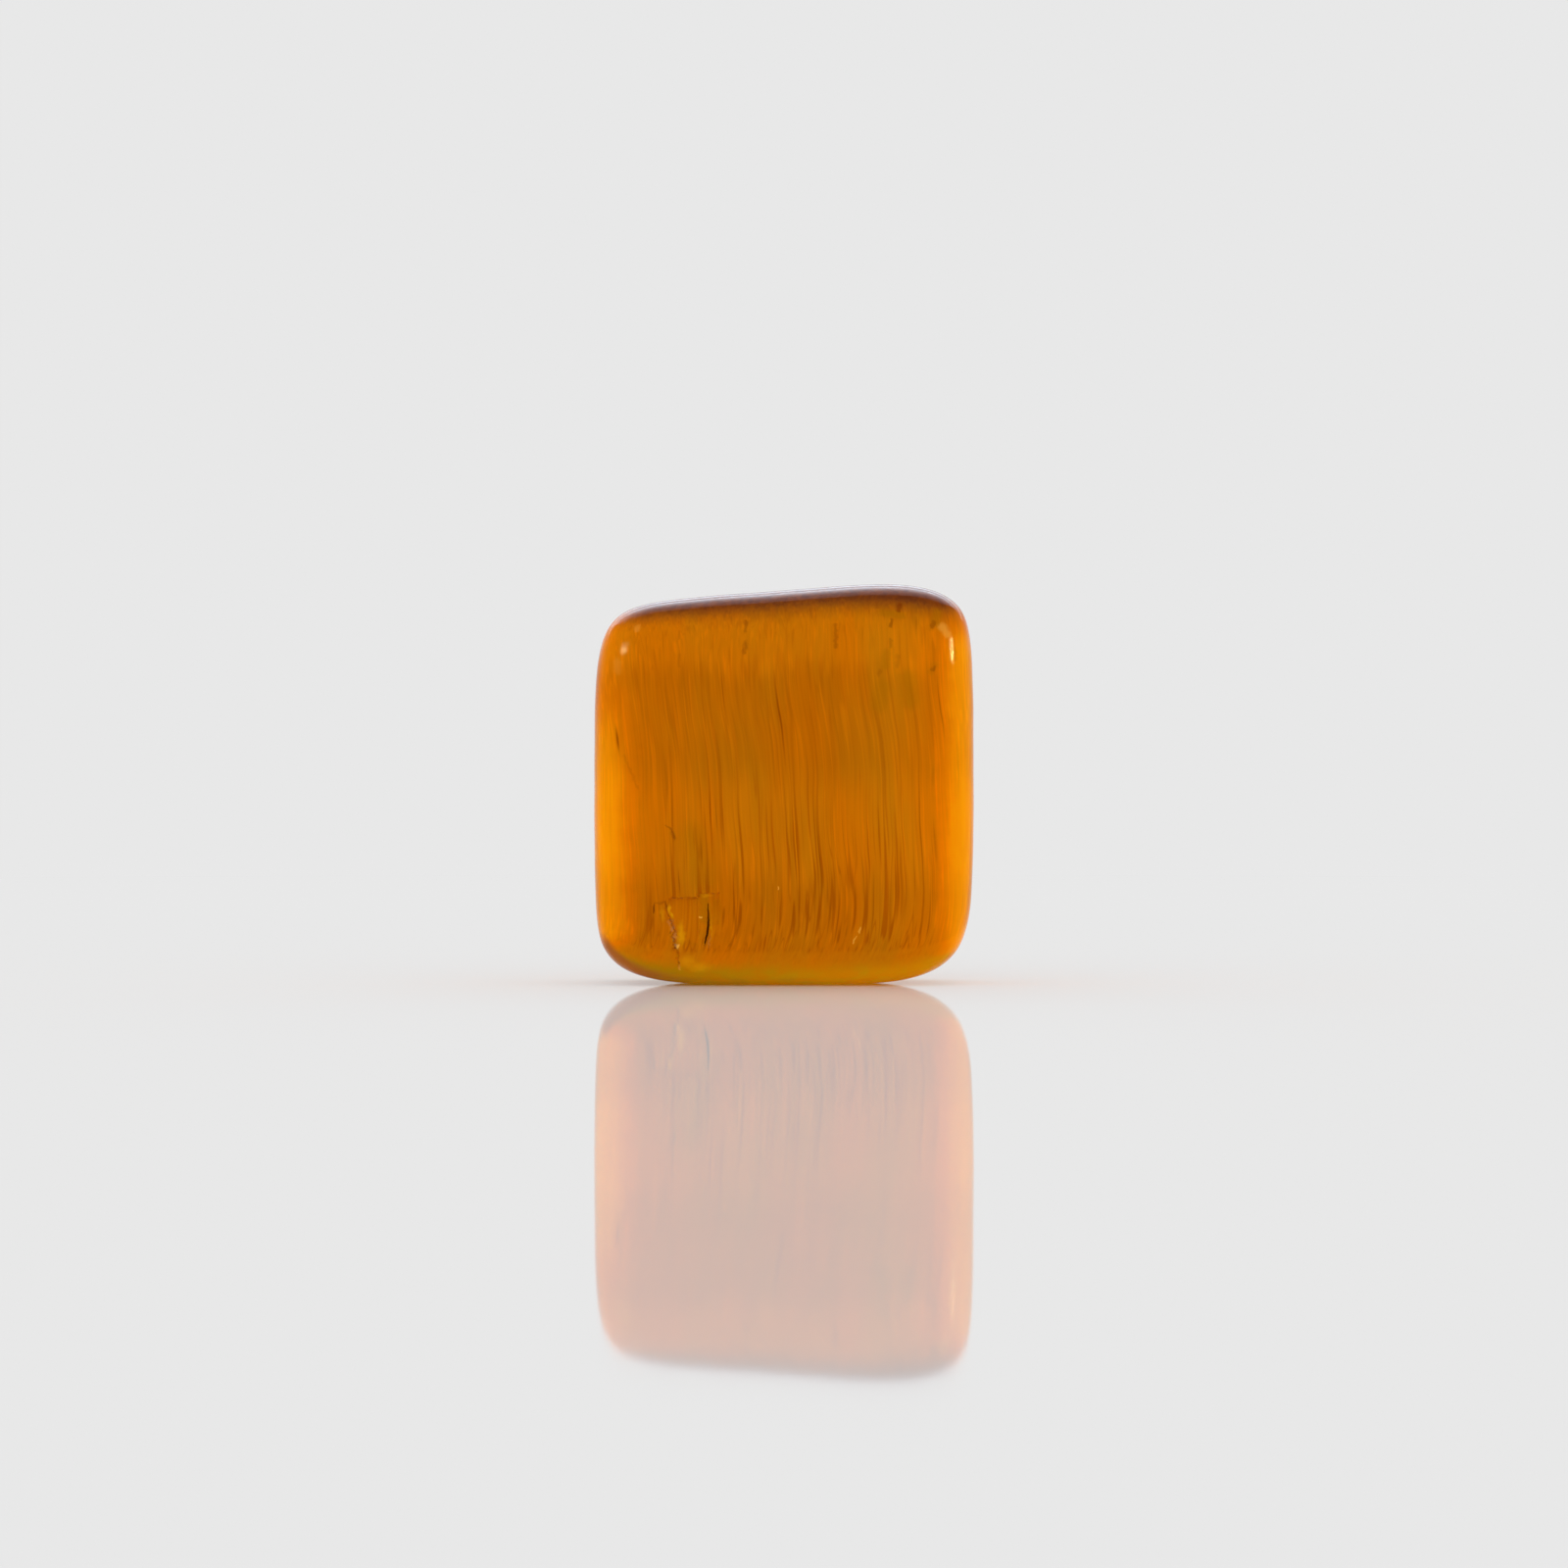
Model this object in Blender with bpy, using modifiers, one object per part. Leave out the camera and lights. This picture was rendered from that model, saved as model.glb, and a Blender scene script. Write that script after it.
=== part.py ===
"""A tumbled tile of tiger's eye, standing on its lower edge.

Metres, +Z up. The broad polished face looks along -Y, and the origin is the middle of the
footprint. The stone grew and was polished as one piece, so it is one object: a coarse cage,
subdivided into the soft form that tumbling leaves, with a small flat at its foot and a
shallow chip low on the left of its face.
"""

import bmesh
import bpy
from mathutils import Vector

MM = 0.001
X, Y, Z = range(3)

# The cage, which subdivision draws in to a stone 20.0 wide, 21.0 high and 9.6 thick
CAGE_WIDTH = 20.15 * MM
CAGE_HEIGHT = 21.55 * MM
CAGE_THICKNESS = 9.4 * MM

# How far the rounding of the sides, the top and the foot reaches in over the face
ROUND_LEFT = 2.6 * MM
ROUND_RIGHT = 3.5 * MM
ROUND_TOP = 3.15 * MM
ROUND_FOOT = 3.25 * MM

# The upper edge climbs from left to right, and is highest just short of the right corner
TOP_LEFT_DROP = 1.1 * MM
TOP_MIDDLE_DROP = 0.65 * MM

# How far tumbling has worn each corner of the outline towards the middle, along X and Z
WORN_TOP_LEFT = (0.75 * MM, 0.95 * MM)
WORN_TOP_RIGHT = (0.65 * MM, 0.95 * MM)
WORN_FOOT_LEFT = (0.55 * MM, 1.8 * MM)
WORN_FOOT_RIGHT = (1.15 * MM, 1.5 * MM)

# The rims of the face and the back are worn more than the sides between them. The face is
# crowned and its rim is worn back, more so at its corners, and the back is flat.
RIM_WEAR = 0.25 * MM
FACE_CROWN = 0.45 * MM
FACE_RIM_WEAR = 0.45 * MM
FACE_CORNER_WEAR = 0.8 * MM
FOOT_WEAR = 0.08 * MM

# The chip broke off in two flakes: the left and right edge of each, its ledge and its depth
CHIP_FLAKES = (
    (-6.0 * MM, -4.4 * MM, 4.5 * MM, 0.35 * MM),
    (-4.5 * MM, -3.5 * MM, 4.8 * MM, 0.28 * MM),
)
CHIP_FOOT = 0.9 * MM
CUTTER_REACH = 2.0 * MM

SUBDIVISIONS = 3
STONE_COLOR = (0.50, 0.16, 0.004, 1.0)
STONE_ROUGHNESS = 0.15


def clear_scene():
    for thing in list(bpy.data.objects):
        bpy.data.objects.remove(thing)


def new_collection(name):
    collection = bpy.data.collections.new(name)
    bpy.context.scene.collection.children.link(collection)
    return collection


def new_object(name, mesh, collection):
    """Makes an object of the finished bmesh, which is freed."""
    data = bpy.data.meshes.new(name)
    mesh.to_mesh(data)
    mesh.free()
    thing = bpy.data.objects.new(name, data)
    collection.objects.link(thing)
    return thing


def stone_material():
    material = bpy.data.materials.new("polished_tiger_eye")
    material.use_nodes = True
    shader = material.node_tree.nodes["Principled BSDF"]
    shader.inputs["Base Color"].default_value = STONE_COLOR
    shader.inputs["Roughness"].default_value = STONE_ROUGHNESS
    shader.inputs["Metallic"].default_value = 0.0
    return material


def box(low, high):
    mesh = bmesh.new()
    bmesh.ops.create_cube(mesh, size=1)
    bmesh.ops.scale(mesh, vec=high - low, verts=mesh.verts)
    bmesh.ops.translate(mesh, vec=(low + high) / 2, verts=mesh.verts)
    return mesh


def loop_cut(mesh, axis, place):
    """Cuts the cage all round by the plane that crosses the axis at that place."""
    normal = Vector((0, 0, 0))
    normal[axis] = 1
    everything = mesh.verts[:] + mesh.edges[:] + mesh.faces[:]
    bmesh.ops.bisect_plane(mesh, geom=everything, plane_co=normal * place, plane_no=normal)


def box_cage():
    """The box that the stone is worn from, standing on Z = 0, with cuts where the rounding begins."""
    half_width = CAGE_WIDTH / 2
    half_thickness = CAGE_THICKNESS / 2
    low = Vector((-half_width, -half_thickness, 0))
    mesh = box(low, Vector((half_width, half_thickness, CAGE_HEIGHT)))
    for place in (ROUND_LEFT - half_width, 0, half_width - ROUND_RIGHT):
        loop_cut(mesh, X, place)
    for place in (ROUND_FOOT, CAGE_HEIGHT / 2, CAGE_HEIGHT - ROUND_TOP):
        loop_cut(mesh, Z, place)
    loop_cut(mesh, Y, 0)
    return mesh


def corner_wear(left, top):
    if top:
        return WORN_TOP_LEFT if left else WORN_TOP_RIGHT
    return WORN_FOOT_LEFT if left else WORN_FOOT_RIGHT


def top_drop(x):
    """How far the upper edge lies below its highest point, at each column of the cage."""
    if x > CAGE_WIDTH / 8:
        return 0
    return TOP_MIDDLE_DROP if x > -CAGE_WIDTH / 8 else TOP_LEFT_DROP


def face_wear(on_rim, on_corner, from_middle):
    """How far the face is worn back at a point of the cage, or, below nothing, stands proud."""
    if on_rim:
        return FACE_CORNER_WEAR if on_corner else FACE_RIM_WEAR
    return -FACE_CROWN if from_middle < CAGE_WIDTH / 8 else 0


def worn(place):
    """Where wear moves a point of the box's cage."""
    x, y, z = place
    height = z - CAGE_HEIGHT / 2
    on_side = abs(x) > 0.499 * CAGE_WIDTH
    on_end = abs(height) > 0.499 * CAGE_HEIGHT
    on_corner = on_side and on_end
    wear_x, wear_z = corner_wear(x < 0, height > 0) if on_corner else (0, 0)
    if abs(y) > 0.499 * CAGE_THICKNESS:
        wear_x += RIM_WEAR * on_side
        wear_z += RIM_WEAR * on_end
    if y < -0.499 * CAGE_THICKNESS:
        y += face_wear(on_side or on_end, on_corner, max(abs(x), abs(height)))
    if height > CAGE_HEIGHT / 8:
        z -= top_drop(x)
    return Vector((
        x - wear_x if x > 0 else x + wear_x,
        y,
        z - wear_z if height > 0 else z + wear_z,
    ))


def make_stone(collection):
    """The worn stone before its foot and chip are cut."""
    cage = box_cage()
    for vertex in cage.verts:
        vertex.co = worn(vertex.co)
    # Subdivision keeps 4/9 of the crown, and lifts the foot by a third of the wear on its two
    # rims. The stone is centred front to back, and sunk for its foot to be worn flat.
    setback = FACE_CROWN * 4 / 9 / 2
    sink = RIM_WEAR / 3 + FOOT_WEAR
    bmesh.ops.translate(cage, vec=(0, setback, -sink), verts=cage.verts)
    stone = new_object("stone", cage, collection)
    stone.data.shade_smooth()
    stone.data.materials.append(stone_material())
    soften = stone.modifiers.new("tumbled", "SUBSURF")
    soften.levels = SUBDIVISIONS
    soften.render_levels = SUBDIVISIONS
    return stone


def cut(stone, name, low, high, cutters):
    """Takes the box between two corners away from the stone."""
    cutter = new_object(name, box(Vector(low), Vector(high)), cutters)
    cutter.display_type = "WIRE"
    cutter.hide_render = True
    difference = stone.modifiers.new(name, "BOOLEAN")
    difference.operation = "DIFFERENCE"
    difference.object = cutter
    difference.solver = "EXACT"


def cut_foot(stone, cutters):
    low = (-CAGE_WIDTH, -CAGE_THICKNESS, -CUTTER_REACH)
    cut(stone, "foot_flat", low, (CAGE_WIDTH, CAGE_THICKNESS, 0), cutters)


def cut_chip(stone, cutters):
    """Each flake left an upright facet, deepest under its ledge, that runs out where the face curves away."""
    face = -CAGE_THICKNESS / 2
    for index, (left, right, ledge, depth) in enumerate(CHIP_FLAKES, 1):
        low = (left, face - CUTTER_REACH, CHIP_FOOT)
        cut(stone, f"chip_flake_{index}", low, (right, face + depth, ledge), cutters)


def main():
    clear_scene()
    stone = make_stone(new_collection("tiger_eye"))
    cutters = new_collection("cutters")
    cut_foot(stone, cutters)
    cut_chip(stone, cutters)


main()
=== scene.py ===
"""The looks of a tumbled tile of tiger's eye, standing on a pale glossy floor.

The stone is one mesh: the same worn cage as the solid's, subdivided finely, with a chip and
its cracks carved in. Its fibres are a pattern in the stone's own space. They stand upright all
through it, so every side shows them lengthwise, and the top and the foot show their ends.
"""

import math

import bmesh
import bpy
import numpy as np
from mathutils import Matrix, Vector

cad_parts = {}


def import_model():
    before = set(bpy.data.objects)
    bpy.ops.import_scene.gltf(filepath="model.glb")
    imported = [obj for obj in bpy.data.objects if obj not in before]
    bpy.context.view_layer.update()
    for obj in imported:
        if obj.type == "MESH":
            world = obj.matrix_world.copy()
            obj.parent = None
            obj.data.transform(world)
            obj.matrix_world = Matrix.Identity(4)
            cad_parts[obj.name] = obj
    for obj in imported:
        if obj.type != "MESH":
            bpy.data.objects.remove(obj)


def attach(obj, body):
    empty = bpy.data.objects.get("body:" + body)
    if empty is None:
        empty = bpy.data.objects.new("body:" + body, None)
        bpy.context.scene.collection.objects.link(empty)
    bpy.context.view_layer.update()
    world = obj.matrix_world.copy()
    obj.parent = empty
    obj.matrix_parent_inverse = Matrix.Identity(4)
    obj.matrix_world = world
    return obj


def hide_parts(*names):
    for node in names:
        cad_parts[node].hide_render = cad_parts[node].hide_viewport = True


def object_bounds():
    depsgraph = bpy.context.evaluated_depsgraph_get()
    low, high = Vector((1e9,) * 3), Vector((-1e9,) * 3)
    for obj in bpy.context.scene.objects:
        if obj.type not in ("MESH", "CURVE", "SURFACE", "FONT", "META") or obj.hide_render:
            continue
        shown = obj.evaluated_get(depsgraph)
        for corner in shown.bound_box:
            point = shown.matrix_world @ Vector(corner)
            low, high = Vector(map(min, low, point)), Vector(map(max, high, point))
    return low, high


MM = 0.001
X, Y, Z = range(3)
SEED = 7

# The worn cage, as in the solid's source, with its corners worn up to 0.3 mm more or less
CAGE_WIDTH = 20.15 * MM
CAGE_HEIGHT = 21.55 * MM
CAGE_THICKNESS = 9.4 * MM
ROUND_LEFT = 2.6 * MM
ROUND_RIGHT = 3.5 * MM
ROUND_TOP = 3.15 * MM
ROUND_FOOT = 3.25 * MM
TOP_LEFT_DROP = 1.1 * MM
TOP_MIDDLE_DROP = 0.65 * MM
WORN_TOP_LEFT = (0.8 * MM, 1.05 * MM)
WORN_TOP_RIGHT = (0.65 * MM, 1.15 * MM)
WORN_FOOT_LEFT = (0.55 * MM, 1.5 * MM)
WORN_FOOT_RIGHT = (1.15 * MM, 1.2 * MM)
RIM_WEAR = 0.25 * MM
FACE_CROWN = 0.45 * MM
FACE_RIM_WEAR = 0.45 * MM
FACE_CORNER_WEAR = 0.8 * MM
FOOT_WEAR = 0.08 * MM
SUBDIVISIONS = 5

# A point of the cage is on the outside beyond OUTSIDE of a size from the middle, and is left or
# right of the middle cut, or above it, beyond MIDDLE of it
OUTSIDE = 0.499
MIDDLE = 0.125

# Places on the stone, from here down to the lights, are in millimetres: X to the right of its
# middle, Z up from the floor.

# The fibres lean to the left going up, by LEAN at LEAN_MIDDLE and by BEND less for each
# millimetre above or below it, in slight waves that lean by SWELL more or less. Below
# HOOK_START they hook to the left, ever more strongly.
LEAN = 0.115
LEAN_MIDDLE = 14.0
BEND = 0.01
SWELL = 0.04
SWELL_LENGTH = 7.0
HOOK_START = 5.0
HOOK = 0.03
SWELL_TURN = 2 * math.pi / SWELL_LENGTH
SWELL_OFFSET = SWELL / SWELL_TURN

# The chip: two flakes off the face, each with its left and right edge, its ledge and how far
# forward its floor lies
FLAKE_LEFT = (-5.95, -4.42, 4.6, -4.36)
FLAKE_RIGHT = (-4.5, -3.35, 4.85, -4.44)
LEDGE_WIDTH = 0.05
CHIP_ZONE = ((-7.0, 0.8), (-3.1, 5.1))
CHIP_CUTS = 5
CRESCENT_ZONE = ((-6.6, 7.2), (-5.2, 8.8))
CRESCENT_CUTS = 3

# Cracks: points down the face, half the width at the widest, and the depth
CRACK = (
    (-6.13, 4.45), (-6.07, 3.95), (-5.93, 3.6), (-5.79, 3.3), (-5.68, 2.9), (-5.78, 2.65),
    (-5.62, 2.4), (-5.64, 2.05), (-5.5, 1.85), (-5.5, 1.4), (-5.44, 1.0),
)
CRACK_SIZE = (0.18, 0.08)
SLIT = ((-3.93, 4.3), (-3.9, 3.7), (-3.92, 3.2), (-3.98, 2.7), (-4.12, 2.15))
SLIT_SIZE = (0.075, 0.4)
NICK = ((-6.7, 4.3), (-6.76, 3.8))
NICK_SIZE = (0.09, 0.05)
CRESCENT = ((-6.2, 8.4), (-5.85, 8.2), (-5.68, 7.9), (-5.66, 7.6))
CRESCENT_SIZE = (0.08, 0.05)
# The width of the painted shadow line down the crack
CRACK_SHADOW_LINE_SIZE = (0.05, 0)
CRACK_TAPER = 0.6

# The roughness of the break: how far each crack steps to either side, and the lengths and the
# height of the waves in the flakes' floors, in their ledges, in the crack's rubble and in the
# edges of the coloured patches
CRACK_JITTER = 0.04
SLIT_JITTER = 0.015
NICK_JITTER = 0.03
FLOOR_WAVES = (0.35, 0.5, 0.8)
FLOOR_WAVE_STRETCH = 0.3
FLOOR_WAVE_HEIGHT = 0.02
LEDGE_WAVES = (0.4, 0.7, 1.1)
LEDGE_WAVE_HEIGHT = 0.03
RUBBLE_WAVES = (0.16, 0.23, 0.31)
RUBBLE_HEIGHT = 0.03
PATCH_WAVES = (0.3, 0.5, 0.9)
PATCH_WAVE_HEIGHT = 0.06
BROKEN_DEPTH = 0.04

# Patches of the break, each with its middle, half its width and height, and its strength:
# yellow facets, partly painted highlights; crushed pale crumbs along the crack; and painted shadow
# between them
PALE_AND_LIT_FACETS = (
    # Painted highlights: the first three patches and the one beside the slit are walls and facets of the
    # break painted as catching the light
    ((-5.92, 4.0), (0.16, 0.36), 0.8),
    ((-5.8, 3.7), (0.12, 0.26), 0.7),
    ((-5.32, 2.7), (0.28, 0.95), 0.55),
    ((-5.0, 1.3), (0.6, 0.5), 0.3),
    ((-4.4, 1.0), (0.8, 0.4), 0.3),
    ((-3.76, 3.0), (0.1, 0.9), 0.35),
    ((-4.0, 4.72), (0.5, 0.13), 0.4),
    ((-6.3, 3.75), (0.18, 0.6), 0.3),
)
CRUMBS = (
    ((-5.88, 3.35), (0.2, 0.26), 0.35),
    ((-5.73, 3.0), (0.24, 0.36), 0.45),
    ((-5.66, 2.6), (0.22, 0.3), 0.4),
    ((-5.52, 2.12), (0.14, 0.2), 1.0),
    ((-3.86, 2.35), (0.1, 0.5), 0.3),
)
GAP_SHADOWS = (
    ((-6.08, 4.1), (0.08, 0.4), 0.5),
    ((-5.9, 2.8), (0.12, 0.16), 0.35),
    ((-5.56, 2.76), (0.12, 0.16), 0.3),
    ((-5.74, 2.35), (0.12, 0.22), 0.4),
    ((-5.63, 1.98), (0.1, 0.16), 0.8),
)

# Which way the corner at the foot's left end faces, where it shows brown end grain
FOOT_LEFT_CORNER = (-0.64, -0.2, -0.74)

# The face's gentle unevenness
WAVE_HEIGHT = 0.01
WAVE_LENGTHS = (2.6, 3.9, 5.5)

# Dark lines along the fibres: where their middle lies, half their length, half their width
# and how dark they are
DARK_LINES = (
    ((-0.14, 13.9), 3.2, 0.08, 0.9),
    ((-3.1, 15.4), 1.7, 0.06, 0.6),
    ((8.1, 14.6), 2.2, 0.07, 0.6),
    ((1.95, 6.4), 4.4, 0.07, 0.8),
    ((2.85, 3.6), 2.3, 0.06, 0.7),
    ((4.7, 4.0), 2.6, 0.06, 0.6),
    ((-8.62, 12.8), 1.0, 0.12, 0.9),
    ((-2.6, 4.4), 2.2, 0.07, 0.6),
    ((-5.36, 5.4), 0.9, 0.05, 0.8),
    ((-3.85, 9.2), 1.2, 0.06, 0.6),
    ((-4.25, 7.0), 1.1, 0.06, 0.7),
    ((-3.5, 8.8), 1.0, 0.05, 0.5),
    ((-4.65, 7.6), 0.9, 0.05, 0.5),
)

# Pits and scratches in the face, then pale specks and painted highlights: both ends, half the width, and
# how strong they are
DARK_MARKS = (
    ((-1.96, 18.9), (-2.0, 18.4), 0.16, 0.35),
    ((-2.0, 17.8), (-2.04, 17.3), 0.18, 0.4),
    ((2.67, 18.7), (2.67, 17.6), 0.16, 0.35),
    ((4.82, 19.9), (4.8, 19.6), 0.12, 0.3),
    ((5.98, 19.75), (5.93, 19.5), 0.22, 0.6),
    ((5.57, 19.0), (5.52, 18.7), 0.13, 0.5),
    ((5.52, 17.95), (5.5, 17.6), 0.14, 0.25),
    ((5.9, 17.1), (5.86, 16.6), 0.2, 0.2),
    ((7.75, 18.85), (7.65, 18.65), 0.15, 0.4),
    ((7.95, 19.8), (8.05, 19.6), 0.2, 0.35),
    ((7.78, 16.5), (7.66, 16.42), 0.14, 0.4),
    ((4.96, 16.3), (4.9, 16.2), 0.2, 0.2),
    ((8.86, 17.5), (8.9, 16.9), 0.12, 0.2),
    ((-5.4, 18.4), (-5.42, 18.0), 0.14, 0.16),
    ((-5.4, 17.2), (-5.44, 16.6), 0.14, 0.16),
    ((-8.3, 12.0), (-7.55, 10.3), 0.12, 0.15),
    ((-5.8, 8.0), (-5.68, 7.72), 0.16, 0.3),
    ((-6.7, 4.32), (-6.2, 4.36), 0.07, 0.3),
    ((-5.8, 4.64), (-4.5, 4.62), 0.09, 0.3),
    ((-4.48, 4.62), (-4.3, 4.84), 0.08, 0.3),
)
LIGHT_SPECKS_AND_HIGHLIGHTS = (
    ((-0.31, 5.16), (-0.31, 5.04), 0.06, 0.7),
    ((3.96, 3.08), (3.86, 2.8), 0.06, 0.5),
    ((3.72, 2.62), (3.55, 2.25), 0.06, 0.5),
    ((-4.38, 3.61), (-4.24, 3.59), 0.06, 0.8),
    ((-5.48, 2.14), (-5.5, 2.04), 0.1, 0.8),
    ((-5.4, 1.02), (-5.38, 0.9), 0.09, 0.3),
    # Painted highlights: pale patches beside the lamps' highlights at the top corners
    ((-7.65, 18.5), (-7.55, 18.65), 0.22, 0.2),
    ((8.2, 18.65), (8.45, 18.3), 0.32, 0.35),
    ((-8.65, 16.8), (-8.6, 16.4), 0.35, 0.12),
)

# Dull olive smudges, given in the same way
SMUDGES = (
    ((5.1, 19.38), (6.1, 19.22), 0.3, 0.5),
    ((7.95, 19.4), (7.85, 18.9), 0.4, 0.5),
    ((5.32, 17.3), (5.26, 16.6), 0.35, 0.4),
    ((7.75, 18.9), (7.6, 18.6), 0.3, 0.25),
    ((7.8, 16.6), (7.6, 16.3), 0.3, 0.25),
    ((5.1, 15.5), (4.9, 14.6), 0.7, 0.4),
    ((6.4, 16.0), (6.5, 14.8), 0.7, 0.4),
    ((-4.12, 4.6), (-4.05, 3.5), 0.4, 0.5),
    ((-3.5, 4.3), (-3.5, 3.4), 0.4, 0.3),
    ((-4.7, 7.8), (-4.2, 5.8), 1.1, 0.3),
)

# How bright a matt white surface looks in the scene's light. Colours below are what the eye
# sees, in 8-bit display values, and are divided by it.
LIGHT_LEVEL = 0.82
ORANGE = (184, 98, 0)
OLIVE = (172, 101, 3)
DARK_FIBRE = (152, 74, 0)
RIM_GLOW_INNER = (200, 105, 0)
RIM_GLOW_OUTER = (218, 128, 2)
END_GRAIN_DARK = (92, 42, 18)
END_GRAIN_LIGHT = (114, 54, 14)
FOOT_GLOW_ORANGE = (188, 121, 2)
FOOT_GLOW_OLIVE = (178, 130, 6)
SMUDGE = (160, 98, 0)
DARK_LINE = (136, 58, 0)
DARK_MARK = (108, 40, 2)
LIGHT_SPECK_AND_HIGHLIGHT = (234, 174, 66)
BROKEN = (196, 106, 0)
CRUSHED = (192, 136, 80)
PALE_AND_LIT = (220, 158, 10)
CRACK_SHADOW = (58, 28, 8)
CORNER_BROWN = (142, 80, 28)

# The polish, and the little light that scatters just under it
STONE_SHADER = {
    "Roughness": 0.35,
    "IOR": 1.5,
    "Specular IOR Level": 0.0,
    "Subsurface Weight": 0.25,
    "Subsurface Radius": (1.0, 0.35, 0.06),
    "Subsurface Scale": 1.2 * MM,
    "Coat Weight": 1.0,
    "Coat IOR": 1.05,
    "Coat Roughness": 0.05,
}
POLISH_BUMP = {"Strength": 0.1, "Distance": 0.01 * MM}


def load_frame():
    """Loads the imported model, and gives the box that it fills."""
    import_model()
    return [list(corner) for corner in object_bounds()]


def loop_cut(mesh, axis, place):
    normal = Vector((0, 0, 0))
    normal[axis] = 1
    everything = mesh.verts[:] + mesh.edges[:] + mesh.faces[:]
    bmesh.ops.bisect_plane(mesh, geom=everything, plane_co=normal * place, plane_no=normal)


def box_cage():
    """The box that the stone is worn from, with cuts where the rounding begins."""
    half_width = CAGE_WIDTH / 2
    mesh = bmesh.new()
    bmesh.ops.create_cube(mesh, size=1)
    bmesh.ops.scale(mesh, vec=(CAGE_WIDTH, CAGE_THICKNESS, CAGE_HEIGHT), verts=mesh.verts)
    bmesh.ops.translate(mesh, vec=(0, 0, CAGE_HEIGHT / 2), verts=mesh.verts)
    for place in (ROUND_LEFT - half_width, 0, half_width - ROUND_RIGHT):
        loop_cut(mesh, X, place)
    for place in (ROUND_FOOT, CAGE_HEIGHT / 2, CAGE_HEIGHT - ROUND_TOP):
        loop_cut(mesh, Z, place)
    loop_cut(mesh, Y, 0)
    return mesh


def corner_wear(left, top):
    if top:
        return WORN_TOP_LEFT if left else WORN_TOP_RIGHT
    return WORN_FOOT_LEFT if left else WORN_FOOT_RIGHT


def top_drop(x):
    if x > MIDDLE * CAGE_WIDTH:
        return 0
    return TOP_MIDDLE_DROP if x > -MIDDLE * CAGE_WIDTH else TOP_LEFT_DROP


def face_wear(on_rim, on_corner, from_middle):
    if on_rim:
        return FACE_CORNER_WEAR if on_corner else FACE_RIM_WEAR
    return -FACE_CROWN if from_middle < MIDDLE * CAGE_WIDTH else 0


def worn(place):
    """Where wear moves a point of the box's cage."""
    x, y, z = place
    height = z - CAGE_HEIGHT / 2
    on_side = abs(x) > OUTSIDE * CAGE_WIDTH
    on_end = abs(height) > OUTSIDE * CAGE_HEIGHT
    on_corner = on_side and on_end
    wear_x, wear_z = corner_wear(x < 0, height > 0) if on_corner else (0, 0)
    if abs(y) > OUTSIDE * CAGE_THICKNESS:
        wear_x += RIM_WEAR * on_side
        wear_z += RIM_WEAR * on_end
    if y < -OUTSIDE * CAGE_THICKNESS:
        y += face_wear(on_side or on_end, on_corner, max(abs(x), abs(height)))
    if height > MIDDLE * CAGE_HEIGHT:
        z -= top_drop(x)
    return Vector((
        x - wear_x if x > 0 else x + wear_x,
        y,
        z - wear_z if height > 0 else z + wear_z,
    ))


def evaluated_mesh(thing):
    """The mesh of an object with its modifiers applied."""
    graph = bpy.context.evaluated_depsgraph_get()
    graph.update()
    return bpy.data.meshes.new_from_object(thing.evaluated_get(graph))


def smooth_stone():
    """The stone's form as subdivision leaves it."""
    cage = box_cage()
    for vertex in cage.verts:
        vertex.co = worn(vertex.co)
    # Subdivision keeps 4/9 of the crown, and lifts the foot by a third of the wear on its two
    # rims. The stone is centred front to back, and sunk for its foot to be worn flat.
    setback = FACE_CROWN * 4 / 9 / 2
    sink = RIM_WEAR / 3 + FOOT_WEAR
    bmesh.ops.translate(cage, vec=(0, setback, -sink), verts=cage.verts)
    coarse = bpy.data.meshes.new("cage")
    cage.to_mesh(coarse)
    cage.free()
    thing = bpy.data.objects.new("cage", coarse)
    bpy.context.scene.collection.objects.link(thing)
    soften = thing.modifiers.new("tumbled", "SUBSURF")
    soften.levels = SUBDIVISIONS
    fine = evaluated_mesh(thing)
    bpy.data.objects.remove(thing)
    bpy.data.meshes.remove(coarse)
    return fine


def refine(mesh, zone, cuts):
    """Splits the face's quads in a zone, given by its lower left and upper right corner."""
    (left, foot), (right, top) = zone
    fine = bmesh.new()
    fine.from_mesh(mesh)
    inside = set()
    for face in fine.faces:
        middle = face.calc_center_median() / MM
        if middle.y < 0 and left < middle.x < right and foot < middle.z < top:
            inside.update(face.edges)
    bmesh.ops.subdivide_edges(fine, edges=list(inside), cuts=cuts, use_grid_fill=True)
    fine.to_mesh(mesh)
    fine.free()


def soft_step(value, low, high):
    share = np.clip((value - low) / (high - low), 0, 1)
    return share * share * (3 - 2 * share)


def ragged(points, jitter, random):
    """The path through the points, with a broken edge's small steps to either side."""
    parts = 4
    path = []
    for start, end in zip(points, points[1:]):
        for step in range(parts):
            path.append(np.array(start) + (np.array(end) - start) * step / parts)
    path.append(np.array(points[-1]))
    path = np.array(path)
    path[1:-1, 0] += random.uniform(-jitter, jitter, len(path) - 2)
    return path


def along_path(x, z, path):
    """The distance of each point to the path, and the share of the path where it is nearest."""
    nearest = np.full(len(x), np.inf)
    share = np.zeros(len(x))
    for index, (start, end) in enumerate(zip(path, path[1:])):
        step = end - start
        t = np.clip(((x - start[0]) * step[0] + (z - start[1]) * step[1]) / (step @ step), 0, 1)
        away = np.hypot(x - start[0] - t * step[0], z - start[1] - t * step[1])
        closer = away < nearest
        nearest[closer] = away[closer]
        share[closer] = (index + t[closer]) / (len(path) - 1)
    return nearest, share


def groove(x, z, path, size):
    """How far a crack is open at each point, from 0 to 1, widest at the middle of its path."""
    away, share = along_path(x, z, path)
    half_width = size[0] * np.sin(math.pi * np.clip(share, 0.02, 0.98)) ** CRACK_TAPER
    return soft_step(away, half_width, 0)


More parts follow.
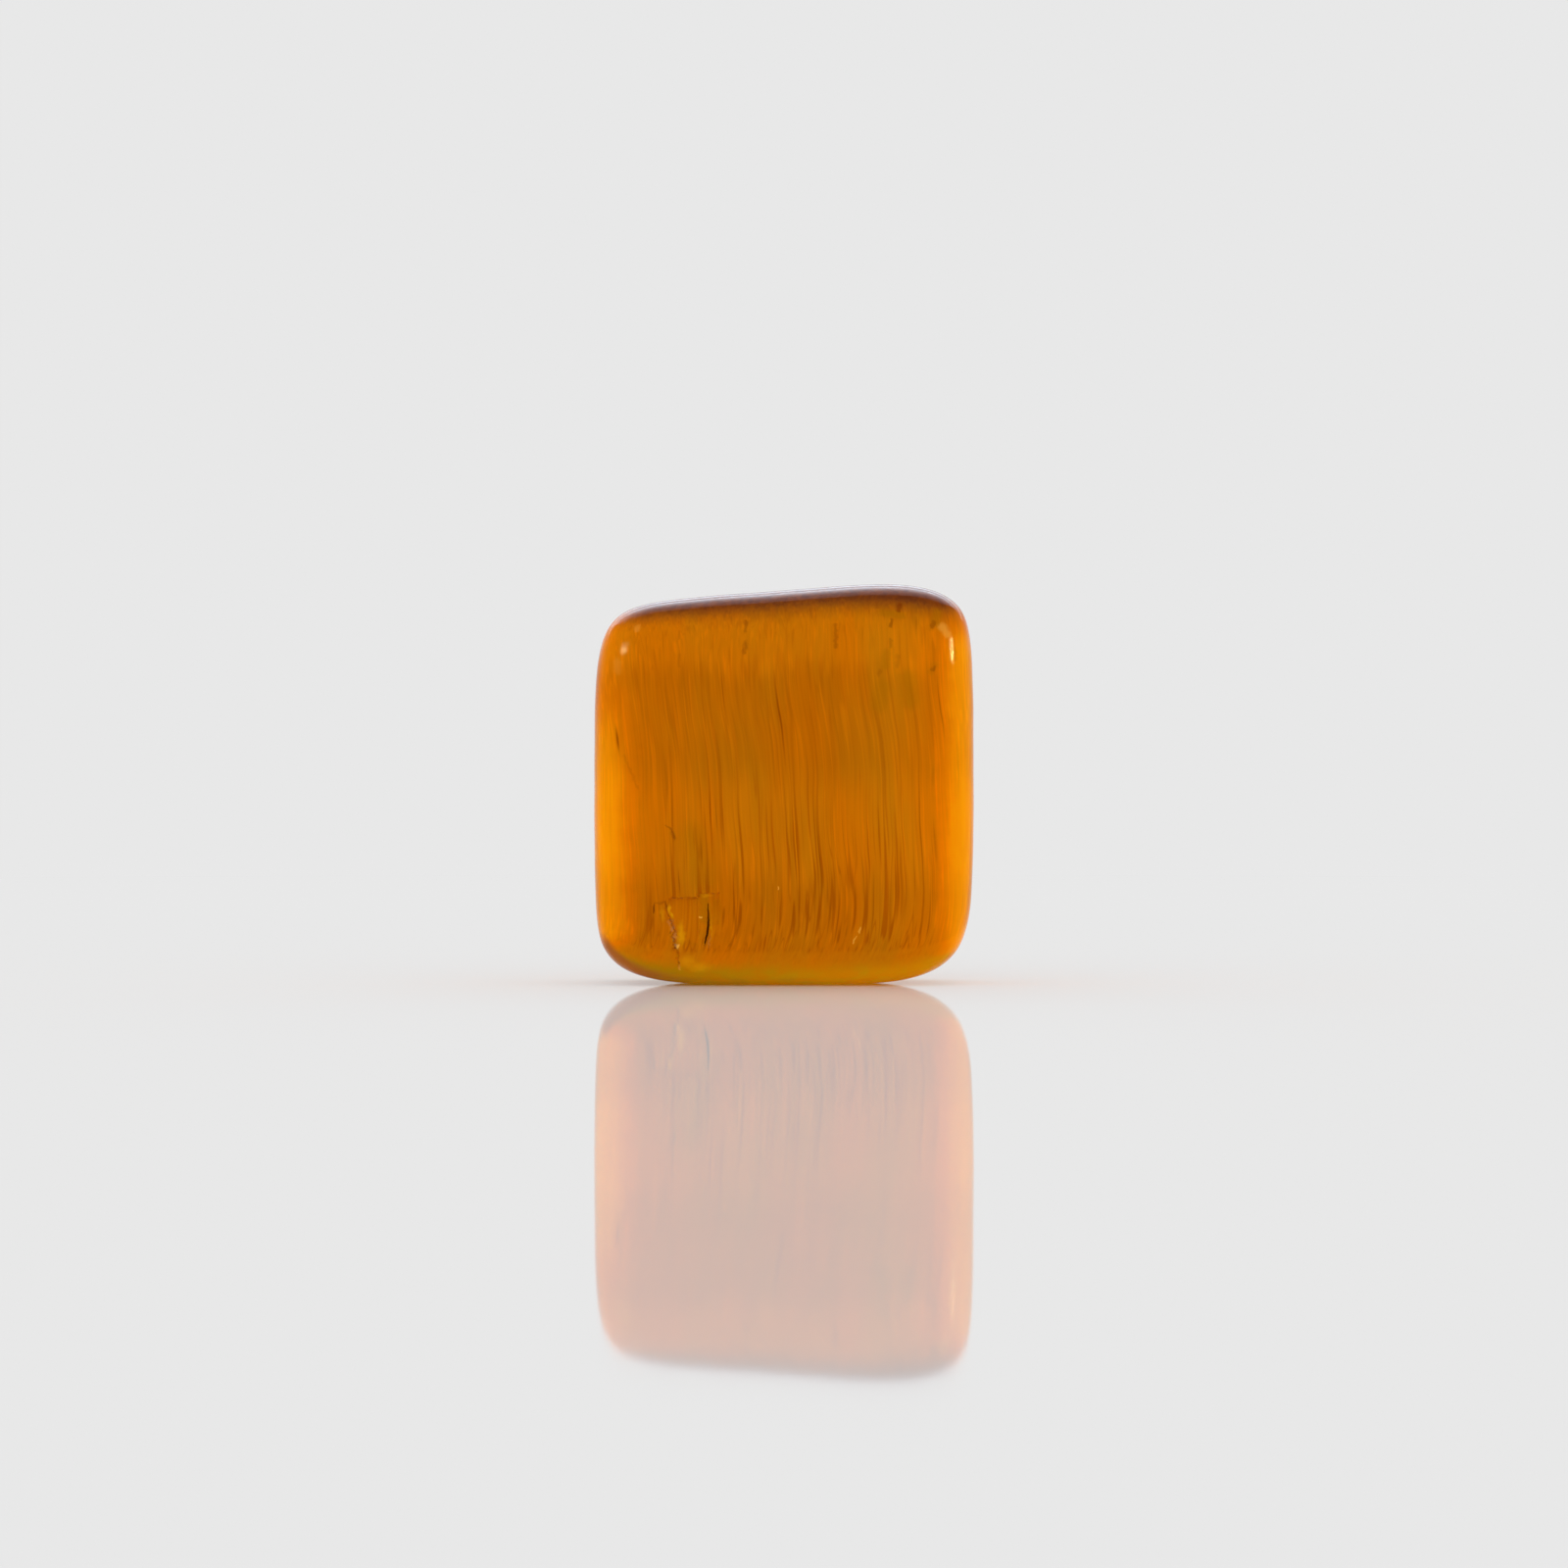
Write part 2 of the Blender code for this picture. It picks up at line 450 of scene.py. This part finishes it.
def waves(x, z, lengths, random):
    """A sum of waves of these lengths in chance directions, about as high as 1."""
    total = np.zeros(len(x))
    for length in lengths:
        for _ in range(2):
            turn, phase = random.uniform(0, 2 * math.pi, 2)
            total += np.sin((x * math.cos(turn) + z * math.sin(turn)) * 2 * math.pi / length + phase)
    return total / len(lengths)


def patches(x, z, places):
    """Soft patches, each from its strength at its middle to 0 at its edge."""
    total = np.zeros(len(x))
    for middle, half_size, strength in places:
        away = np.hypot((x - middle[0]) / half_size[0], (z - middle[1]) / half_size[1])
        total = np.maximum(total, strength * soft_step(-away, -1, -0.1))
    return total


def read_points(mesh):
    """The places of a mesh's points in millimetres, and which way each of them faces."""
    place = np.empty(len(mesh.vertices) * 3, np.float32)
    normal = np.empty(len(mesh.vertices) * 3, np.float32)
    mesh.vertices.foreach_get("co", place)
    mesh.vertices.foreach_get("normal", normal)
    return place.reshape(-1, 3).astype(float) / MM, normal.reshape(-1, 3).astype(float)


def sink_flakes(place, x, z, crack, floor_waves, ledge_waves, on_face):
    """Sinks the chip's two flakes into the face, and gives how broken each point is."""
    crack_at = np.interp(-z, -crack[:, 1], crack[:, 0])
    broken = np.zeros(len(x))
    for left, right, ledge, floor in (FLAKE_LEFT, FLAKE_RIGHT):
        edge = np.maximum(crack_at, left)
        below = ledge_waves - ledge
        inside = soft_step(x, edge - LEDGE_WIDTH, edge + LEDGE_WIDTH)
        inside *= soft_step(-x, -right - LEDGE_WIDTH, -right + LEDGE_WIDTH)
        inside *= soft_step(-z, below - LEDGE_WIDTH, below + LEDGE_WIDTH)
        behind = np.maximum(floor + floor_waves - place[:, Y], 0) * on_face
        place[:, Y] += inside * behind
        broken = np.maximum(broken, inside * soft_step(behind, 0, BROKEN_DEPTH))
    return broken


def open_cracks(place, x, z, paths, on_face):
    """Opens each crack in the face, and gives how far each is open at each point."""
    cuts = {}
    for name, (path, size) in paths.items():
        cuts[name] = groove(x, z, path, size) * on_face
        place[:, Y] += cuts[name] * size[1]
    return cuts


def break_marks(x, z, crack_shadow_line, rubble, cuts, on_face):
    """How much painted shadow lies in the break's cracks, how crushed the break is, and how pale, partly
    as painted highlight, at each point.
    """
    # Painted shadow: the crack's line, the gaps between its crumbs, the slit, the nick and the crescent
    # are darkened as if in shade
    crack_shadow_line = crack_shadow_line * (0.1 + 0.25 * soft_step(z, 1.6, 2.2))
    gap_shadows = patches(x, z, GAP_SHADOWS) * soft_step(rubble, -0.6, 0.2) * on_face
    dark = cuts["slit"] * (0.15 + 0.85 * soft_step(-z, -3.9, -3.0))
    dark += np.maximum(crack_shadow_line, gap_shadows)
    dark += 0.4 * cuts["nick"]
    dark += 0.25 * cuts["crescent"]
    return {
        "dark": dark,
        "crushed": patches(x, z, CRUMBS) * soft_step(rubble, -0.8, 0.1) * on_face,
        "pale": patches(x, z, PALE_AND_LIT_FACETS) * on_face,
    }


def carve(mesh):
    """Carves the chip and cracks into the face, flattens the foot and notes what broke."""
    random = np.random.default_rng(SEED)
    place, normal = read_points(mesh)
    x, z = place[:, X].copy(), place[:, Z].copy()
    on_face = soft_step(-normal[:, Y], 0.2, 0.7)
    on_back = soft_step(normal[:, Y], 0.2, 0.7)
    uneven = waves(x, z, WAVE_LENGTHS, random) * WAVE_HEIGHT * (1 - on_back)
    place += normal * uneven[:, None]

    crack = ragged(CRACK, CRACK_JITTER, random)
    slit = ragged(SLIT, SLIT_JITTER, random)
    floor_waves = waves(x, z * FLOOR_WAVE_STRETCH, FLOOR_WAVES, random) * FLOOR_WAVE_HEIGHT
    rubble = waves(x, z, RUBBLE_WAVES, random)
    ledge_waves = waves(x, z * 0, LEDGE_WAVES, random) * LEDGE_WAVE_HEIGHT
    broken = sink_flakes(place, x, z, crack, floor_waves, ledge_waves, on_face)
    paths = {
        "crack": (crack, CRACK_SIZE),
        "slit": (slit, SLIT_SIZE),
        "nick": (ragged(NICK, NICK_JITTER, random), NICK_SIZE),
        "crescent": (np.array(CRESCENT), CRESCENT_SIZE),
    }
    cuts = open_cracks(place, x, z, paths, on_face)
    place[:, Y] += cuts["crack"] * rubble * RUBBLE_HEIGHT
    place[:, Z] = np.maximum(place[:, Z], 0)
    mesh.vertices.foreach_set("co", (place * MM).astype(np.float32).ravel())
    mesh.update()

    crack_shadow_line = groove(x, z, crack, CRACK_SHADOW_LINE_SIZE) * on_face
    x += waves(x, z, PATCH_WAVES, random) * PATCH_WAVE_HEIGHT
    z += waves(x, z, PATCH_WAVES, random) * PATCH_WAVE_HEIGHT
    marks = {"broken": broken, **break_marks(x, z, crack_shadow_line, rubble, cuts, on_face)}
    for name, values in marks.items():
        attribute = mesh.attributes.new(name, "FLOAT", "POINT")
        attribute.data.foreach_set("value", np.clip(values, 0, 1).astype(np.float32))


class Nodes:
    """A node tree that is built by naming each node's inputs."""

    def __init__(self, tree):
        self.tree = tree

    def add(self, kind, inputs, **settings):
        made = self.tree.nodes.new("ShaderNode" + kind)
        for name, value in settings.items():
            setattr(made, name, value)
        for name, value in inputs.items():
            if isinstance(value, bpy.types.NodeSocket):
                self.tree.links.new(value, made.inputs[name])
            else:
                made.inputs[name].default_value = value
        return made

    def math(self, operation, *values, clamp=False):
        inputs = dict(enumerate(values))
        return self.add("Math", inputs, operation=operation, use_clamp=clamp).outputs[0]

    def total(self, first, *others):
        for other in others:
            first = self.math("ADD", first, other)
        return first

    def product(self, first, *others):
        for other in others:
            first = self.math("MULTIPLY", first, other)
        return first

    def greatest(self, first, *others):
        for other in others:
            first = self.math("MAXIMUM", first, other)
        return first

    def step(self, value, low, high, to_low=0.0, to_high=1.0):
        """Turns smoothly from one value to the other as the input goes from low to high."""
        inputs = {"Value": value, "From Min": low, "From Max": high, "To Min": to_low, "To Max": to_high}
        return self.add("MapRange", inputs, interpolation_type="SMOOTHSTEP").outputs[0]

    def window(self, value, low, high, soft):
        """1 between low and high, and 0 from a soft step beyond them."""
        rise = self.step(value, low - soft, low)
        return self.product(rise, self.step(value, high, high + soft, 1.0, 0.0))

    def vector(self, x, y, z):
        return self.add("CombineXYZ", {0: x, 1: y, 2: z}).outputs[0]

    def vector_math(self, operation, first, second=None, scale=None):
        inputs = {0: first}
        if second is not None:
            inputs[1] = second
        if scale is not None:
            inputs["Scale"] = scale
        return self.add("VectorMath", inputs, operation=operation)

    def noise(self, x, y, z, detail=1.0, roughness=0.5):
        """Noise from about -1 to 1, with features one unit wide."""
        inputs = {"Vector": self.vector(x, y, z), "Scale": 1.0, "Detail": detail, "Roughness": roughness}
        value = self.add("TexNoise", inputs).outputs[0]
        return self.math("MULTIPLY_ADD", value, 4.0, -2.0)

    def noise_at(self, place, density, detail=1.0):
        """The same in space, with features 1 / density wide."""
        return self.noise(*[self.product(part, density) for part in place], detail)

    def mix(self, share, first, second):
        return self.add("Mix", {0: share, 6: first, 7: second}, data_type="RGBA").outputs[2]

    def attribute(self, name):
        return self.add("Attribute", {}, attribute_name=name).outputs["Fac"]


def linear(color):
    """The linear colour of 8-bit display values."""
    def one(value):
        share = value / 255
        return share / 12.92 if share <= 0.04045 else ((share + 0.055) / 1.055) ** 2.4
    return [one(value) for value in color]


def lit(color):
    """The colour of a surface that looks like these display values in the scene's light."""
    return (*[value / LIGHT_LEVEL for value in linear(color)], 1.0)


def across_fibres(x, z):
    """Which fibre passes through a place: the X that it has at LEAN_MIDDLE."""
    rise = z - LEAN_MIDDLE
    bent = LEAN * rise - BEND / 2 * rise * abs(rise)
    swell = SWELL_OFFSET * math.sin(rise * SWELL_TURN)
    hooked = max(HOOK_START - z, 0)
    return x + bent + swell + HOOK / 3 * hooked ** 3


def fibre_nodes(nodes, x, y, z):
    """The same as across_fibres, as nodes, with the fibres' gentle sway."""
    rise = nodes.math("SUBTRACT", z, LEAN_MIDDLE)
    straight = nodes.math("MULTIPLY_ADD", rise, LEAN, x)
    bent = nodes.product(rise, nodes.math("ABSOLUTE", rise), -BEND / 2)
    swell = nodes.product(nodes.math("SINE", nodes.product(rise, SWELL_TURN)), SWELL_OFFSET)
    hooked = nodes.math("MAXIMUM", nodes.math("SUBTRACT", HOOK_START, z), 0.0)
    hooked = nodes.product(hooked, hooked, hooked, HOOK / 3)
    sway = nodes.noise(nodes.product(x, 0.2), nodes.product(y, 0.25), nodes.product(z, 0.13))
    tremor = nodes.noise(nodes.product(x, 0.9), nodes.product(y, 0.9), nodes.product(z, 0.45))
    sway = nodes.product(sway, 0.12)
    return nodes.total(straight, bent, swell, hooked, sway, nodes.product(tremor, 0.03))


class Fibres:
    """Patterns drawn out along the fibres."""

    def __init__(self, nodes, across, y, z):
        self.nodes = nodes
        self.across = across
        self.y = y
        self.z = z
        self.shift = 0.0

    def noise(self, width, length, detail=1.0, roughness=0.5):
        """Noise with features this wide across the fibres and this long along them."""
        self.shift += 17.3
        return self.nodes.noise(
            self.nodes.math("MULTIPLY_ADD", self.across, 1 / width, self.shift),
            self.nodes.product(self.y, 0.9 / width),
            self.nodes.product(self.z, 1 / length),
            detail,
            roughness,
        )

    def line(self, middle, half_length, half_width, strength):
        """One line along the fibres, that tapers to its ends."""
        nodes = self.nodes
        away = nodes.math("ABSOLUTE", nodes.math("SUBTRACT", self.across, across_fibres(*middle)))
        along = nodes.math("ABSOLUTE", nodes.math("SUBTRACT", self.z, middle[1]))
        along = nodes.step(along, 0.0, half_length, strength, 0.0)
        return nodes.product(nodes.step(away, 0.0, half_width, 1.0, 0.0), along)


def mark(nodes, at, start, end, half_width, strength):
    """A short mark in the face, from its start to its end."""
    start = Vector((start[0], 0, start[1]))
    step = Vector((end[0], 0, end[1])) - start
    offset = nodes.vector_math("SUBTRACT", at, start).outputs[0]
    share = nodes.vector_math("DOT_PRODUCT", offset, step / step.length_squared).outputs["Value"]
    share = nodes.math("MAXIMUM", share, 0.0, clamp=True)
    nearest = nodes.vector_math("SCALE", step, scale=share).outputs[0]
    away = nodes.vector_math("DISTANCE", offset, nearest).outputs["Value"]
    return nodes.step(away, half_width * 0.2, half_width, strength, 0.0)


def face_color(nodes, fibres, x, z, belly, flank):
    """Honey-gold with fine fibres, which fade where the face turns under to the foot. Its brightness also
    carries painted sheen in bands and painted shade on the flat sides.
    """
    hue = nodes.total(
        fibres.noise(2.4, 8.0),
        nodes.product(fibres.noise(0.5, 5.0), 0.3),
        nodes.product(nodes.window(z, 13.0, 16.0, 2.0), -0.35),
        nodes.product(nodes.step(x, -8.0, -9.4), nodes.step(z, 12.0, 17.0)),
        nodes.product(belly, 0.4),
    )
    color = nodes.mix(nodes.step(hue, -1.2, 1.2), lit(ORANGE), lit(OLIVE))
    plain = nodes.math("MULTIPLY_ADD", belly, -0.7, 1.0)
    lower = nodes.product(nodes.step(z, 7.5, 12.5, 1.0, 0.36), nodes.step(z, 0.9, 2.4, 0.5, 1.1), plain)
    cords = nodes.step(fibres.noise(0.14, 9.0, 0.0), 0.2, 1.1, 0.0, 0.8)
    hairs = nodes.step(nodes.math("ABSOLUTE", fibres.noise(0.3, 12.0, 0.0)), 0.0, 0.16, 0.6, 0.0)
    hairs = nodes.product(hairs, nodes.step(fibres.noise(1.0, 5.0, 0.0), -0.9, 0.6))
    dark = nodes.product(nodes.greatest(cords, hairs), lower)
    color = nodes.mix(dark, color, lit(DARK_FIBRE))
    bright = nodes.total(
        nodes.product(fibres.noise(0.5, 6.0, 1.0), 0.05),
        nodes.product(fibres.noise(0.12, 3.0, 0.0), 0.05),
        nodes.product(nodes.step(fibres.noise(0.11, 5.0, 0.0), 0.3, 1.1), 0.14),
    )
    height = nodes.math("MULTIPLY_ADD", fibres.noise(0.9, 6.0), 0.5, z)
    # Painted sheen: lighter bands high on the right, across the middle height, near the right rim and on
    # the belly, standing in for the fibres' chatoyant sheen
    painted_sheen = nodes.total(
        nodes.product(nodes.window(height, 17.3, 18.8, 1.6), nodes.step(x, 6.9, 8.3, 0.19, 0.04)),
        nodes.product(nodes.window(height, 7.0, 9.5, 2.5), 0.15),
        nodes.product(nodes.window(height, 3.0, 18.0, 2.0), nodes.window(x, 6.5, 7.3, 4.0), 0.115),
        nodes.product(belly, 0.08),
    )
    # Painted shade: the flat sides are painted darker, more so on the dark fibres
    shade = nodes.math("MULTIPLY_ADD", dark, 0.4, 0.22)
    shade = nodes.product(shade, flank, -1.0)
    return color, nodes.total(nodes.product(bright, plain), painted_sheen, shade, 1.02)


def stone_material():
    material = bpy.data.materials.new("tiger_eye")
    material.use_nodes = True
    nodes = Nodes(material.node_tree)
    shader = material.node_tree.nodes["Principled BSDF"]
    coordinates = nodes.add("TexCoord", {})
    at = nodes.vector_math("SCALE", coordinates.outputs["Object"], scale=1 / MM).outputs[0]
    x, y, z = nodes.add("SeparateXYZ", {0: at}).outputs
    jag_x = nodes.product(nodes.noise_at((x, y, z), 4.0), 0.06)
    jag_z = nodes.product(nodes.noise_at((z, x, y), 4.0), 0.06)
    on_face = nodes.vector(nodes.total(x, jag_x), 0.0, nodes.total(z, jag_z))
    sideways, towards_back, up = nodes.add("SeparateXYZ", {0: coordinates.outputs["Normal"]}).outputs
    fibres = Fibres(nodes, fibre_nodes(nodes, x, y, z), y, z)
    blotch = nodes.noise_at((x, y, z), 1.1, 2.0)

    # The face, which is duller on the belly above the foot. Painted light: the belly is also painted more
    # olive and a little lighter, for the light it gets from the floor below.
    near_foot = nodes.step(z, 2.5, 3.3, 1.0, 0.0)
    belly = nodes.step(nodes.math("MULTIPLY_ADD", blotch, 0.015, up), -0.28, -0.22, 1.0, 0.0)
    belly = nodes.product(belly, near_foot)
    flank = nodes.step(nodes.math("ABSOLUTE", sideways), 0.93, 1.0)
    color, brightness = face_color(nodes, fibres, x, z, belly, flank)

    # Painted glow: the rims to both sides are painted brighter, for the light that shines through them,
    # and fade near the top
    left = nodes.step(nodes.math("MULTIPLY_ADD", blotch, 0.15, x), -9.3, -6.7, 1.0, 0.0)
    left = nodes.product(left, nodes.step(z, 11.0, 17.0, 1.0, 0.28), nodes.step(z, 1.6, 2.9))
    right = nodes.step(nodes.math("MULTIPLY_ADD", blotch, 0.15, x), 7.1, 9.5)
    right = nodes.product(right, nodes.step(z, 17.2, 19.6, 1.0, 0.3))
    rim_glow = nodes.greatest(left, right)
    color = nodes.mix(nodes.step(rim_glow, 0.0, 0.5), color, lit(RIM_GLOW_INNER))
    color = nodes.mix(nodes.step(rim_glow, 0.4, 1.0), color, lit(RIM_GLOW_OUTER))
    color = nodes.vector_math("SCALE", color, scale=brightness).outputs[0]

    # The fibres' dark ends on the top, which reach further down the face to the right
    ends = fibres.noise(0.35, 1.5, 2.0)
    facing = nodes.math("MULTIPLY_ADD", fibres.noise(0.13, 2.0), 0.04, up)
    top = nodes.total(facing, nodes.step(x, -9.0, -2.5, -0.1, 0.0), nodes.step(x, 2.0, 9.0, 0.0, 0.14))
    grain = nodes.mix(nodes.step(ends, -0.8, 0.8), lit(END_GRAIN_DARK), lit(END_GRAIN_LIGHT))
    ends_at = nodes.product(nodes.step(x, -9.3, -7.0, 0.35, 1.0), nodes.step(x, 8.1, 9.4, 1.0, 0.45))
    color = nodes.mix(nodes.product(nodes.step(top, 0.18, 0.85), ends_at), color, grain)
    # The foot, painted lighter and more olive as a painted glow of the light from the floor below, and
    # the brown corner at its left end
    olive = nodes.step(nodes.math("MULTIPLY_ADD", x, -0.08, blotch), -0.8, 0.8)
    foot = nodes.mix(olive, lit(FOOT_GLOW_ORANGE), lit(FOOT_GLOW_OLIVE))
    foot = nodes.vector_math("SCALE", foot, scale=nodes.step(x, -9.0, 6.0, 0.68, 0.95)).outputs[0]
    color = nodes.mix(nodes.product(nodes.step(facing, -0.35, -0.8), near_foot), color, foot)
    corner = nodes.vector_math("DOT_PRODUCT", coordinates.outputs["Normal"], FOOT_LEFT_CORNER)
    corner = nodes.math("MULTIPLY_ADD", blotch, 0.03, corner.outputs["Value"])
    color = nodes.mix(nodes.step(corner, 0.74, 0.92, 0.0, 0.95), color, lit(CORNER_BROWN))

    # What shows on the face alone. Each mark is joined to the last as soon as it is made,
    # because the renderer can hold only so many values at a time.
    in_front = nodes.step(towards_back, -0.5, -0.2, 1.0, 0.0)
    color = nodes.mix(nodes.product(nodes.attribute("broken"), 0.5), color, lit(BROKEN))
    lines = 0.0
    for line in DARK_LINES:
        lines = nodes.math("MAXIMUM", lines, fibres.line(*line))
    color = nodes.mix(nodes.product(lines, in_front), color, lit(DARK_LINE))
    for places, tone in ((SMUDGES, SMUDGE), (DARK_MARKS, DARK_MARK), (LIGHT_SPECKS_AND_HIGHLIGHTS, LIGHT_SPECK_AND_HIGHLIGHT)):
        share = 0.0
        for place in places:
            share = nodes.math("MAXIMUM", share, mark(nodes, on_face, *place))
        color = nodes.mix(nodes.product(share, in_front), color, lit(tone))
    # Pale facets of the break, partly painted highlights where they catch the light
    color = nodes.mix(nodes.attribute("pale"), color, lit(PALE_AND_LIT))
    color = nodes.mix(nodes.attribute("crushed"), color, lit(CRUSHED))
    # Painted shadow in the slit, crack and grooves of the break
    color = nodes.mix(nodes.attribute("dark"), color, lit(CRACK_SHADOW))

    material.node_tree.links.new(color, shader.inputs["Base Color"])
    uneven = nodes.noise_at((x, y, z), 3.0)
    bump = nodes.add("Bump", {**POLISH_BUMP, "Height": uneven})
    material.node_tree.links.new(bump.outputs[0], shader.inputs["Coat Normal"])
    for name, value in STONE_SHADER.items():
        shader.inputs[name].default_value = value
    return material


def make_stone():
    mesh = smooth_stone()
    refine(mesh, CHIP_ZONE, CHIP_CUTS)
    refine(mesh, CRESCENT_ZONE, CRESCENT_CUTS)
    carve(mesh)
    mesh.shade_smooth()
    mesh.materials.clear()
    mesh.materials.append(stone_material())
    stone = bpy.data.objects.new("tiger_eye_stone", mesh)
    bpy.context.scene.collection.objects.link(stone)
    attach(stone, "root")
    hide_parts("stone")
    return stone


# Studio, in metres
BACKGROUND = 0.807
FLOOR_SIZE = 1.6
FLOOR_FADE = (0.12, 0.4)
FLOOR_GLOSS = 0.49
FLOOR_ROUGHNESS = 0.035
KEY_COLOR = (1.0, 0.88, 0.3)
VEIL_COLOR = (0.75, 0.87, 1.0)
STONE_MIDDLE = (0, 0, 0.0105)
LIGHT_DISTANCE = 0.2

# Lights: the direction from the stone, the width and height, and the brightness
SOFT_LIGHTS = {
    "left_side": ((-1, -0.12, 0.2), (0.16, 0.12), 1.3),
    "right_side": ((1, -0.12, 0.2), (0.16, 0.12), 1.1),
    "under_foot": ((0, 0, -1), (0.12, 0.12), 3.4),
}
# Lamps, which are seen only as reflections in the polish, and so have a colour too
LAMPS = {
    "left_key": ((-0.6, -0.73, 0.33), (0.05, 0.032), 420.0, KEY_COLOR),
    "right_key": ((0.879, -0.428, 0.185), (0.05, 0.02), 900.0, KEY_COLOR),
    "top_rim": ((0, 0.982, 0.191), (0.3, 0.035), 0.25, VEIL_COLOR),
    "top_edge": ((0, 0.921, 0.391), (0.3, 0.05), 3.5, VEIL_COLOR),
    "top_veil": ((0, 0.588, 0.809), (0.3, 0.178), 13.0, VEIL_COLOR),
}

# The camera looks level at the stone's middle
CAMERA_PLACE = (0, -0.2297, 0.0105)
CAMERA_LENS = 100
CAMERA_SENSOR = 36
CAMERA_NEAR = 0.01


def make_world():
    world = bpy.data.worlds.new("studio")
    bpy.context.scene.world = world
    world.use_nodes = True
    background = world.node_tree.nodes["Background"]
    background.inputs["Color"].default_value = (BACKGROUND, BACKGROUND, BACKGROUND, 1)
    background.inputs["Strength"].default_value = 1.0


def floor_material():
    material = bpy.data.materials.new("studio_floor")
    material.use_nodes = True
    tree = material.node_tree
    tree.nodes.clear()
    nodes = Nodes(tree)
    at = nodes.add("TexCoord", {}).outputs["Object"]
    away = nodes.vector_math("LENGTH", at).outputs["Value"]
    fade = nodes.step(away, *FLOOR_FADE)
    matt = nodes.add("BsdfDiffuse", {"Color": (1, 1, 1, 1)}).outputs[0]
    gloss = nodes.add("BsdfAnisotropic", {"Color": (1, 1, 1, 1), "Roughness": FLOOR_ROUGHNESS}).outputs[0]
    clear = nodes.add("BsdfTransparent", {}).outputs[0]
    surface = nodes.add("MixShader", {0: FLOOR_GLOSS, 1: matt, 2: gloss}).outputs[0]
    surface = nodes.add("MixShader", {0: fade, 1: surface, 2: clear}).outputs[0]
    nodes.add("OutputMaterial", {"Surface": surface})
    return material


def make_floor():
    sheet = bmesh.new()
    bmesh.ops.create_grid(sheet, x_segments=1, y_segments=1, size=FLOOR_SIZE / 2)
    mesh = bpy.data.meshes.new("floor")
    sheet.to_mesh(mesh)
    sheet.free()
    mesh.materials.append(floor_material())
    floor = bpy.data.objects.new("floor", mesh)
    bpy.context.scene.collection.objects.link(floor)


def softbox(name, towards, size, brightness, receivers):
    """A rectangular light in that direction from the stone, which lights the stone alone."""
    data = bpy.data.lights.new(name, "AREA")
    data.shape = "RECTANGLE"
    data.size, data.size_y = size
    data.energy = brightness * math.pi * size[0] * size[1]
    light = bpy.data.objects.new(name, data)
    direction = Vector(towards).normalized()
    light.location = Vector(STONE_MIDDLE) + direction * LIGHT_DISTANCE
    light.rotation_euler = direction.to_track_quat("Z", "Y").to_euler()
    light.visible_camera = False
    light.light_linking.receiver_collection = receivers
    light.light_linking.blocker_collection = receivers
    bpy.context.scene.collection.objects.link(light)
    return light


def make_lights(stone):
    receivers = bpy.data.collections.new("lit")
    receivers.objects.link(stone)
    for name, (towards, size, brightness) in SOFT_LIGHTS.items():
        softbox(name, towards, size, brightness, receivers).visible_glossy = False
    for name, (towards, size, brightness, color) in LAMPS.items():
        lamp = softbox(name, towards, size, brightness, receivers)
        lamp.visible_diffuse = False
        lamp.data.color = color


def make_camera():
    data = bpy.data.cameras.new("camera")
    data.lens = CAMERA_LENS
    data.sensor_width = CAMERA_SENSOR
    data.clip_start = CAMERA_NEAR
    camera = bpy.data.objects.new("camera", data)
    camera.location = CAMERA_PLACE
    camera.rotation_euler = (math.radians(90), 0, 0)
    bpy.context.scene.collection.objects.link(camera)
    bpy.context.scene.camera = camera


def main():
    cad_box = load_frame()
    stone = make_stone()
    make_world()
    make_floor()
    make_lights(stone)
    make_camera()
    bpy.context.scene.view_settings.view_transform = "Standard"


main()
